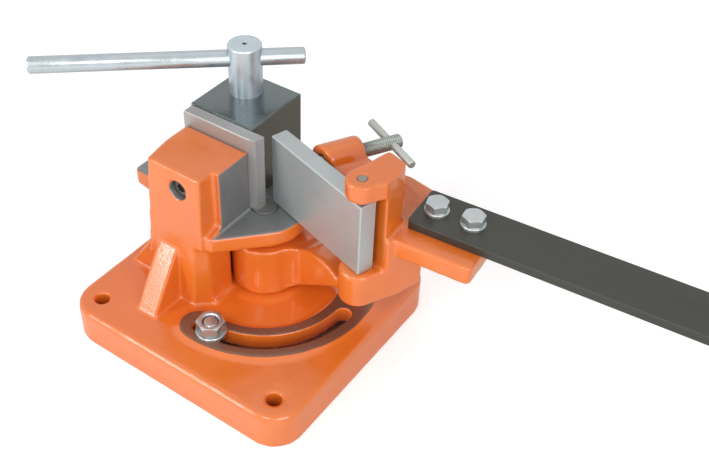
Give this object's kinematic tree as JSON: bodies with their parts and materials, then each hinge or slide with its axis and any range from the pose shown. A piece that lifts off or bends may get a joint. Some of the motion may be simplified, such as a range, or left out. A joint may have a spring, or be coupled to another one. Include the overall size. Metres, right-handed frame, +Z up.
{
  "type": "angle bender",
  "caption": "Bench angle bender with a cast base, eccentric-clamped former jaw, swinging arm with a hinged bending leaf, screw adjustment and angle stop",
  "frame": {"origin": "centre of the base's underside, midway between its four bolt holes", "axes": "+X along the front edge to the handle side, +Y from the front to the back, +Z up"},
  "size_m": [0.8389, 0.2422, 0.247],
  "materials": {
    "orange_paint": "gloss orange paint on a sand casting",
    "ground_steel": "ground steel",
    "black_steel": "black oxide steel",
    "zinc_plate": "bright zinc plate",
    "bronze": "machined bronze"
  },
  "bodies": {
    "base": {"base_casting": "orange_paint", "pivot_pin": "ground_steel", "jaw_plate": "ground_steel", "jaw_screw": "black_steel"},
    "block": {"clamp_block": "black_steel", "guide_key": "ground_steel"},
    "spindle": {"eccentric_spindle": "zinc_plate", "tommy_bar": "zinc_plate", "bar_grub_screw": "black_steel", "spindle_washer": "zinc_plate", "spindle_circlip": "black_steel"},
    "arm": {"arm_casting": "orange_paint", "pivot_bush": "bronze", "leaf_pin": "ground_steel", "handle_bar": "black_steel", "handle_bolts": "zinc_plate", "handle_washers": "zinc_plate"},
    "leaf": {"bending_leaf": "ground_steel"},
    "pad": {"thrust_pad": "zinc_plate"},
    "screw": {"adjusting_screw": "zinc_plate", "screw_tommy_pin": "zinc_plate"},
    "stop": {"stop_bolt": "zinc_plate", "stop_washer": "zinc_plate", "stop_nut": "zinc_plate"}
  },
  "joints": [
    {"name": "arm_swing", "type": "hinge", "parent": "base", "child": "arm", "pos_m": [0.001, 0.02, 0.067], "axis": [0, 0, 1], "range_deg": [-83, 17]},
    {"name": "leaf_tilt", "type": "hinge", "parent": "arm", "child": "leaf", "pos_m": [0.11344, 0.00471, 0.158], "axis": [0, 0, 1], "range_deg": [-1.5, 3]},
    {"name": "pad_slide", "type": "slide", "parent": "arm", "child": "pad", "axis": [-0.4924, -0.8704, 0], "range_m": [-0.00186, 0.00371]},
    {"name": "screw_turn", "type": "hinge", "parent": "pad", "child": "screw", "pos_m": [0.04858, 0.03264, 0.1836], "axis": [-0.4924, -0.8704, 0], "range_deg": [-380, 760]},
    {"name": "block_slide", "type": "slide", "parent": "base", "child": "block", "axis": [0, 1, 0], "range_m": [-0.00053, 0.0099]},
    {"name": "spindle_turn", "type": "hinge", "parent": "block", "child": "spindle", "pos_m": [-0.055, 0.0678, 0.18], "axis": [0, 0, 1], "range_deg": [-4, 76]},
    {"name": "stop_set", "type": "hinge", "parent": "base", "child": "stop", "pos_m": [0.001, 0.02, 0.044], "axis": [0, 0, 1], "range_deg": [-7, 82]}
  ],
  "couplings": [
    {"joint": "pad_slide", "follows": "screw_turn", "m_per_rad": 0.00027852},
    {"joint": "leaf_tilt", "follows": "screw_turn", "ratio": 0.0039228},
    {"joint": "block_slide", "follows": "spindle_turn", "m_per_rad": 0.0074256}
  ]
}
